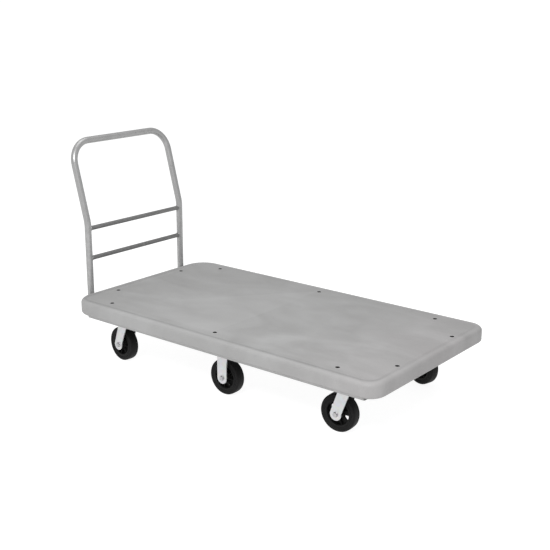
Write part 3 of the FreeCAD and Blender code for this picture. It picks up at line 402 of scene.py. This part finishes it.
def thread(length, radius, pitch):
    """Profile of a threaded end, from its root outwards along the axis."""
    turns = int(length / pitch)
    points = []
    for i in range(turns):
        points.append((i * pitch, radius * 0.87))
        points.append(((i + 0.5) * pitch, radius))
    points.append((turns * pitch, radius * 0.87))
    points.append((turns * pitch + pitch * 0.4, radius * 0.72))
    return points


def bead(bm, path, radius, closed=False, sides=8):
    """Weld bead: a rippled tube along a path."""
    rings = []
    count = len(path)
    for i, point in enumerate(path):
        before = path[i - 1] if (i or closed) else path[0]
        after = path[(i + 1) % count] if (i < count - 1 or closed) else path[-1]
        u, v, _ = frame_of(Vector(after) - Vector(before))
        r = radius * (0.86 + 0.20 * abs(math.sin(i * 1.05)) + random.uniform(-0.05, 0.05))
        if not closed and i in (0, count - 1):
            r *= 0.55
        turns = [2 * math.pi * k / sides for k in range(sides)]
        rings.append([bm.verts.new(around(Vector(point), u, v, r, t)) for t in turns])
    skin(bm, rings, closed, not closed)


def straight(a, b, step=0.0014):
    """Evenly spaced points from a to b."""
    a, b = Vector(a), Vector(b)
    count = max(3, int((b - a).length / step))
    return [a.lerp(b, i / count) for i in range(count + 1)]


def piece(name, bm, slot, body, replaced=(), sharp=32):
    """Object made from bm, shaded smooth below the sharp angle, riding a body."""
    bmesh.ops.recalc_face_normals(bm, faces=bm.faces)
    data = bpy.data.meshes.new(name)
    bm.to_mesh(data)
    bm.free()
    data.polygons.foreach_set("use_smooth", [True] * len(data.polygons))
    data.set_sharp_from_angle(angle=math.radians(sharp))
    data.materials.append(MATERIALS[slot])
    obj = bpy.data.objects.new(name, data)
    bpy.context.scene.collection.objects.link(obj)
    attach(obj, body)
    if replaced:
        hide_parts(*replaced)
    return obj


def middle(node):
    lo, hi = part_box(node)
    return (lo + hi) / 2


# ---------------------------------------------------------------- where things are
JOINTS = {j["name"]: j for j in frame["joints"]}
SWIVELS = ["handle_near", "handle_far", "free_near", "free_far"]
RIGIDS = ["mid_near", "mid_far"]
UP, DOWN = Vector((0, 0, 1)), Vector((0, 0, -1))


def islands(node):
    """Low and high corners of the box of each separate solid of a node."""
    bm = bmesh.new()
    bm.from_mesh(NODES[node].data)
    bmesh.ops.remove_doubles(bm, verts=bm.verts, dist=MERGE_DIST)
    seen, found = set(), []
    for start in bm.verts:
        if start.index in seen:
            continue
        stack, group = [start], []
        seen.add(start.index)
        while stack:
            vert = stack.pop()
            group.append(vert.co)
            for edge in vert.link_edges:
                other = edge.other_vert(vert)
                if other.index not in seen:
                    seen.add(other.index)
                    stack.append(other)
        lo = Vector([min(c[k] for c in group) for k in range(3)])
        hi = Vector([max(c[k] for c in group) for k in range(3)])
        found.append((lo, hi))
    bm.free()
    return found


# ---------------------------------------------------------------- fasteners
BOLT_HEAD_H, BOLT_R, SOCKET_R = 0.0036, 0.0041, 0.0031
THREAD_R, PITCH, THREAD_LENGTH = 0.0039, 0.00125, 0.0185
NUT_ACROSS, PLATE_HEAD_H = 0.013, 0.0053

# deck bolts: domed head with a socket, in a dark cup that lines the counterbore as painted shade of the recess
bm = bmesh.new()
for lo, hi in islands("deck_bolts"):
    x, y = (lo.x + hi.x) / 2, (lo.y + hi.y) / 2
    seat = hi.z - BOLT_HEAD_H
    dome = [(0.0, BOLT_R), (0.0, 0.0066), (0.0009, 0.0066), (0.0021, 0.0058), (0.0031, 0.0044),
            (0.0036, SOCKET_R + 0.0004), (0.0035, SOCKET_R), (0.0012, SOCKET_R * 0.97), (0.0009, 0.0002)]
    lathe(bm, dome, (x, y, seat), UP, 36)
    # painted shade: a near-black cup lining the counterbore walls, where the recess is in shade
    shade_cup = [(0.0001, 0.0067), (0.0001, 0.0083), (0.0053, 0.0084), (0.0056, 0.0082), (0.0055, 0.0079),
           (0.0018, 0.0075), (0.0008, 0.0067)]
    lathe(bm, shade_cup, (x, y, seat), UP, 48, True)
    tail = [(a + seat - lo.z - 0.019, r) for a, r in thread(THREAD_LENGTH, THREAD_R, PITCH)]
    lathe(bm, [(-0.001, THREAD_R)] + tail, (x, y, seat), DOWN, 24)
piece("deck_bolt_and_shade_cup_set", bm, "bolt_dark", "chassis", ["deck_bolts"])


def nut_set(name, node, axis):
    """A chamfered nut in the place of each solid of a node."""
    bm = bmesh.new()
    for lo, hi in islands(node):
        x, y = (lo.x + hi.x) / 2, (lo.y + hi.y) / 2
        base = lo.z if axis.z > 0 else hi.z
        hexagon(bm, (x, y, base), axis, NUT_ACROSS, hi.z - lo.z, THREAD_R)
    piece(name, bm, "fastener_zinc", "chassis", [node])


nut_set("deck_nut_set", "deck_nuts", DOWN)
nut_set("caster_nut_set", "caster_nuts", UP)

# caster bolts: washer, hexagon head below it, threaded shank above it
WASHER = [(0.0, 0.0041), (0.0, 0.0083), (0.0003, 0.0086), (0.0010, 0.0086), (0.0012, 0.0083),
          (0.0012, 0.0041)]
WASHER_H = 0.0012
bm = bmesh.new()
for lo, hi in islands("caster_bolts"):
    x, y = (lo.x + hi.x) / 2, (lo.y + hi.y) / 2
    seat = lo.z + PLATE_HEAD_H
    lathe(bm, WASHER, (x, y, seat), DOWN, 32, True)
    hexagon(bm, (x, y, seat - WASHER_H), DOWN, NUT_ACROSS, 0.0041)
    tail = [(a + 0.004, r) for a, r in thread(hi.z - seat - 0.0045, THREAD_R, PITCH)]
    lathe(bm, [(-0.001, THREAD_R)] + tail, (x, y, seat), UP, 24)
piece("caster_bolt_set", bm, "fastener_zinc", "chassis", ["caster_bolts"])

# ---------------------------------------------------------------- wheels, axles and casters
TYRE_HALF, TYRE_R, TYRE_IN = 0.020, 0.0725, 0.0551
SHOULDER_R, SHOULDER_W, SHOULDER_H = 0.0655, 0.0062, 0.0066


def tyre_profile():
    """Half a tyre section from its seat, over the side wall and shoulder, to the tread's middle."""
    side = [(0.0170, TYRE_IN), (0.0172, TYRE_IN + 0.0010), (0.0193, 0.0590), (0.0196, 0.0597),
            (0.0194, 0.0606), (0.0188, 0.0612), (0.0188, 0.0622), (0.0195, 0.0630),
            (TYRE_HALF, 0.0642), (TYRE_HALF, SHOULDER_R)]
    shoulder = []
    for i in range(1, 10):
        t = math.radians(90 * i / 9)
        shoulder.append((TYRE_HALF - SHOULDER_W * (1 - math.cos(t)), SHOULDER_R + SHOULDER_H * math.sin(t)))
    tread = [(0.0100, 0.07232), (0.0060, 0.07244), (0.0014, 0.07246), (0.0008, TYRE_R), (0.0, TYRE_R)]
    return side + shoulder + tread


RIM_RING = [(0.0165, 0.0468), (0.0176, 0.0470), (0.0180, 0.0478), (0.0180, 0.0530), (0.0176, 0.0538),
            (0.0165, 0.0540)]
HUB_RING = [(0.0235, 0.0132), (0.0256, 0.0132), (0.0262, 0.0138), (0.0262, 0.0160), (0.0256, 0.0168),
            (0.0235, 0.0168)]
# a rib's sections: radius, inner and outer height from the web's middle, half thickness
RIB = [(0.0185, 0.0035, 0.0215, 0.0018), (0.0300, 0.0035, 0.0140, 0.0015), (0.0465, 0.0035, 0.0140, 0.0018)]
RIB_TAPER = 0.7
AXLE_WASHER = [(0.0, 0.0052), (0.0, 0.0096), (0.0004, 0.0100), (0.0011, 0.0100), (0.0015, 0.0096),
               (0.0015, 0.0052)]
AXLE_COLLAR = [(0.0075, 0.0050), (0.0075, 0.0066), (0.0090, 0.0064), (0.0093, 0.0058), (0.0093, 0.0050)]
AXLE_R, AXLE_HEX, AXLE_WASHER_H, FORK_OUT = 0.0050, 0.016, 0.0015, 0.033


def wheel_detail(tag):
    """Tyre, core rings and ribs, and the axle bolt of one wheel."""
    joint = JOINTS["roll_" + tag]
    centre, axis = Vector(joint["pos_m"]), Vector(joint["axis"])
    body = "wheel_" + tag
    bm = bmesh.new()
    half = tyre_profile()
    whole = half + [(-a, r) for a, r in reversed(half[:-1])]
    lathe(bm, whole, centre, axis, 144, True)
    piece("tyre_tread_" + tag, bm, "tyre_black", body, ["tyre_" + tag])

    bm = bmesh.new()
    w = axis.normalized()
    roll = WHEEL_ROLL[tag]
    # the free end's wheels show fewer ribs, which leaves their openings clear to see through
    ribs_per_side = 4 if tag.startswith("free") else 8
    for side in (-1, 1):
        lathe(bm, [(side * a, r) for a, r in RIM_RING], centre, axis, 96, True)
        lathe(bm, [(side * a, r) for a, r in HUB_RING], centre, axis, 64, True)
        for k in range(ribs_per_side):
            t = roll + math.radians(360 / ribs_per_side * (k + 0.5))
            out = Vector((math.cos(t) * w.y, -math.cos(t) * w.x, 0)) + UP * math.sin(t)
            across = out.cross(w)
            rib = []
            for radius, low, high, thick in RIB:
                foot = centre + out * radius + w * (side * low)
                crest = centre + out * radius + w * (side * high)
                corners = (foot + across * thick, crest + across * (thick * RIB_TAPER),
                           crest - across * (thick * RIB_TAPER), foot - across * thick)
                rib.append([bm.verts.new(corner) for corner in corners])
            skin(bm, rib, False, True)
    ribs = piece("core_ribs_" + tag, bm, "core_black", body, sharp=40)
    edge = ribs.modifiers.new("edge", "BEVEL")
    edge.width = 0.0004
    edge.segments = 2
    edge.limit_method = "ANGLE"
    edge.angle_limit = math.radians(50)

    # axle bolt: head and washer outboard, washer and lock nut inboard
    outward = axis if centre.y > 0 else -axis
    head_side = centre + outward * FORK_OUT
    nut_side = centre - outward * FORK_OUT
    bm = bmesh.new()
    lathe(bm, AXLE_WASHER, head_side, outward, 40, True)
    hexagon(bm, centre + outward * (FORK_OUT + AXLE_WASHER_H), outward, AXLE_HEX, 0.0045)
    lathe(bm, AXLE_WASHER, nut_side, -outward, 40, True)
    hexagon(bm, centre - outward * (FORK_OUT + AXLE_WASHER_H), -outward, AXLE_HEX, 0.0060, AXLE_R)
    lathe(bm, AXLE_COLLAR, nut_side, -outward, 32, True)
    shank = [(-0.065, AXLE_R), (0.0, AXLE_R)] + thread(0.0095, 0.0049, 0.0015)[1:]
    lathe(bm, shank, nut_side, -outward, 32)
    carrier = "chassis" if tag in RIGIDS else "swivel_" + tag
    piece("axle_set_" + tag, bm, "fastener_zinc", carrier, ["axle_" + tag])


# turn of each core's openings at rest; the ribs are set out from it and keep clear of the openings
WHEEL_ROLL = {"handle_near": math.radians(15), "handle_far": math.radians(-65),
              "free_near": math.radians(-25), "free_far": math.radians(-10),
              "mid_near": math.radians(15), "mid_far": math.radians(-5)}
for tag in SWIVELS + RIGIDS:
    wheel_detail(tag)

DUST_RING = [(0.0, 0.0286), (0.0, 0.0318), (0.0009, 0.0324), (0.0016, 0.0318), (0.0016, 0.0290),
             (0.0009, 0.0286)]
for tag in SWIVELS:
    at = middle("kingpin_" + tag)
    bm = bmesh.new()
    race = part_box("swivel_plate_" + tag)[0].z
    lathe(bm, DUST_RING, (at.x, at.y, race - 0.0017), UP, 72, True)
    piece("dust_ring_" + tag, bm, "caster_zinc", "chassis", sharp=40)

# ---------------------------------------------------------------- lip of the moulding on the side rails
RAIL_FLANGE_TOP, LIP_OUT, LIP_IN, LIP_STEPS = 0.203, 0.4020, 0.3860, 140
low, high = RAIL_FLANGE_TOP + 0.0002, RAIL_FLANGE_TOP + 0.0046
section = [(LIP_IN, low), (LIP_OUT - 0.0015, low), (LIP_OUT - 0.0004, low + 0.0005), (LIP_OUT, low + 0.0016),
           (LIP_OUT, high), (LIP_IN, high)]
bm = bmesh.new()
for side, rail in ((-1, "side_rail_near"), (1, "side_rail_far")):
    lo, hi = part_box(rail)
    rings = []
    for i in range(LIP_STEPS + 1):
        x = lo.x + 0.004 + (hi.x - lo.x - 0.008) * i / LIP_STEPS
        rings.append([bm.verts.new((x, side * y, z)) for y, z in section])
    skin(bm, rings, False, True)
piece("deck_lip", bm, "deck_plastic", "chassis", sharp=40)

# ---------------------------------------------------------------- weld beads
tube_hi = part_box("handle_tube")[1]
BAR_R, POST_R = 0.0095, 0.0143
BAR_BEAD, SOCKET_BEAD, FRAME_BEAD = 0.0021, 0.0018, 0.0022
PROUD = 0.0006
bm = bmesh.new()
for bar in ("crossbar_upper", "crossbar_lower"):
    lo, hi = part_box(bar)
    c = (lo + hi) / 2
    post_y = tube_hi.y - POST_R
    for side in (-1, 1):
        loop = []
        for i in range(64):
            t = 2 * math.pi * i / 64
            x, z = (BAR_R + 0.0008) * math.cos(t), (BAR_R + 0.0008) * math.sin(t)
            reach = math.sqrt((POST_R + PROUD) ** 2 - x * x)
            loop.append((c.x + x, side * (post_y - reach), c.z + z))
        bead(bm, loop, BAR_BEAD, True, 10)
piece("crossbar_welds", bm, "tube_steel", "handle", sharp=60)

bm = bmesh.new()
for node in ("handle_socket_near", "handle_socket_far"):
    lo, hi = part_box(node)
    beam_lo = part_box("handle_beam")[0]
    mid_y = (lo.y + hi.y) / 2
    mid_x = lo.x + 0.017
    for z in (beam_lo.z - 0.0004, beam_lo.z + 0.0054):
        arc = []
        for i in range(25):
            t = math.radians(-62 + 124 * i / 24)
            arc.append((mid_x + 0.0178 * math.cos(t), mid_y + 0.0178 * math.sin(t), z))
        bead(bm, arc, SOCKET_BEAD)
    x, z = beam_lo.x - 0.0008, beam_lo.z + 0.0056
    bead(bm, straight((x, mid_y - 0.016, z), (x, mid_y + 0.016, z)), SOCKET_BEAD)
for node in ("cross_channel_handle", "cross_channel_mid", "cross_channel_free"):
    lo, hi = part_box(node)
    for x in (lo.x - PROUD, hi.x + PROUD):
        for rail in ("stringer_near", "stringer_far"):
            slo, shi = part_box(rail)
            z = hi.z - PROUD
            bead(bm, straight((x, slo.y + 0.002, z), (x, shi.y - 0.002, z)), FRAME_BEAD)
        for y in (lo.y, hi.y):
            inner_y = y + (1 if y < 0 else -1) * PROUD
            bead(bm, straight((x, inner_y, lo.z + 0.0145), (x, inner_y, hi.z - 0.002)), FRAME_BEAD)
piece("frame_welds", bm, "frame_steel", "chassis", sharp=60)

# ---------------------------------------------------------------- floor, lights and camera
white = Nodes("floor_white")
floor_tone = white.ramp(white.noise(1.5, 3), [(0.3, 0.24), (0.7, 0.26)])
floor_normal = white.bump(white.noise(60, 3), 0.02, 0.001)
floor_rough = white.remap(white.noise(8, 3), 0.3, 0.7, 0.7, 0.8)
white.finish(floor_tone, floor_rough, floor_normal)
white.bsdf.inputs["Emission Color"].default_value = (1, 1, 1, 1)
white.bsdf.inputs["Emission Strength"].default_value = 0.91

FLOOR_HALF, RIM = 250, 8
square = [(-FLOOR_HALF, -FLOOR_HALF), (FLOOR_HALF, -FLOOR_HALF), (FLOOR_HALF, FLOOR_HALF),
          (-FLOOR_HALF, FLOOR_HALF)]
mesh = bpy.data.meshes.new("floor")
mesh.from_pydata([(x, y, 0) for x, y in square] + [(x, y, RIM) for x, y in square], [],
                 [(0, 1, 2, 3)] + [(i, (i + 1) % 4, (i + 1) % 4 + 4, i + 4) for i in range(4)])
floor = bpy.data.objects.new("floor", mesh)
floor.data.materials.append(white.mat)
bpy.context.scene.collection.objects.link(floor)
floor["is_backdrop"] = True

world = bpy.data.worlds.new("studio")
world.use_nodes = True
world.node_tree.nodes["Background"].inputs["Color"].default_value = (1, 1, 1, 1)
world.node_tree.nodes["Background"].inputs["Strength"].default_value = 0.45
bpy.context.scene.world = world


def area(name, at, aim, size, power):
    light = bpy.data.lights.new(name, "AREA")
    light.shape = "RECTANGLE"
    light.size, light.size_y = size
    light.energy = power
    obj = bpy.data.objects.new(name, light)
    obj.location = at
    obj.rotation_mode = "QUATERNION"
    obj.rotation_quaternion = (Vector(aim) - Vector(at)).to_track_quat("-Z", "Y")
    bpy.context.scene.collection.objects.link(obj)


# name, place, aim, size in metres, power in watts
area("key", (1.6, -3.2, 3.6), (0, 0, 0.3), (2.2, 1.6), 205)
area("top", (-0.5, 0.4, 4.2), (0, 0, 0.2), (3.0, 2.4), 60)

AZIMUTH, ELEVATION, ROLL = math.radians(38.331), math.radians(16.261), math.radians(0.354)
CAMERA_AT = (2.46076, -3.0189, 1.5438)
SENSOR_MM, LENS_MM = 36, 65.19927
back = Vector((math.sin(AZIMUTH) * math.cos(ELEVATION), -math.cos(AZIMUTH) * math.cos(ELEVATION),
               math.sin(ELEVATION)))
right = Vector((math.cos(AZIMUTH), math.sin(AZIMUTH), 0))
up = back.cross(right)
cam_x = math.cos(ROLL) * right + math.sin(ROLL) * up
cam_y = -math.sin(ROLL) * right + math.cos(ROLL) * up
camera = bpy.data.cameras.new("camera")
camera.sensor_width = SENSOR_MM
camera.lens = LENS_MM
camera.clip_end = 400
view = bpy.data.objects.new("camera", camera)
view.matrix_world = Matrix((
    (cam_x.x, cam_y.x, back.x, CAMERA_AT[0]),
    (cam_x.y, cam_y.y, back.y, CAMERA_AT[1]),
    (cam_x.z, cam_y.z, back.z, CAMERA_AT[2]),
    (0, 0, 0, 1),
))
bpy.context.scene.collection.objects.link(view)
bpy.context.scene.camera = view
bpy.context.scene.view_settings.view_transform = "Standard"

lo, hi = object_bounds()
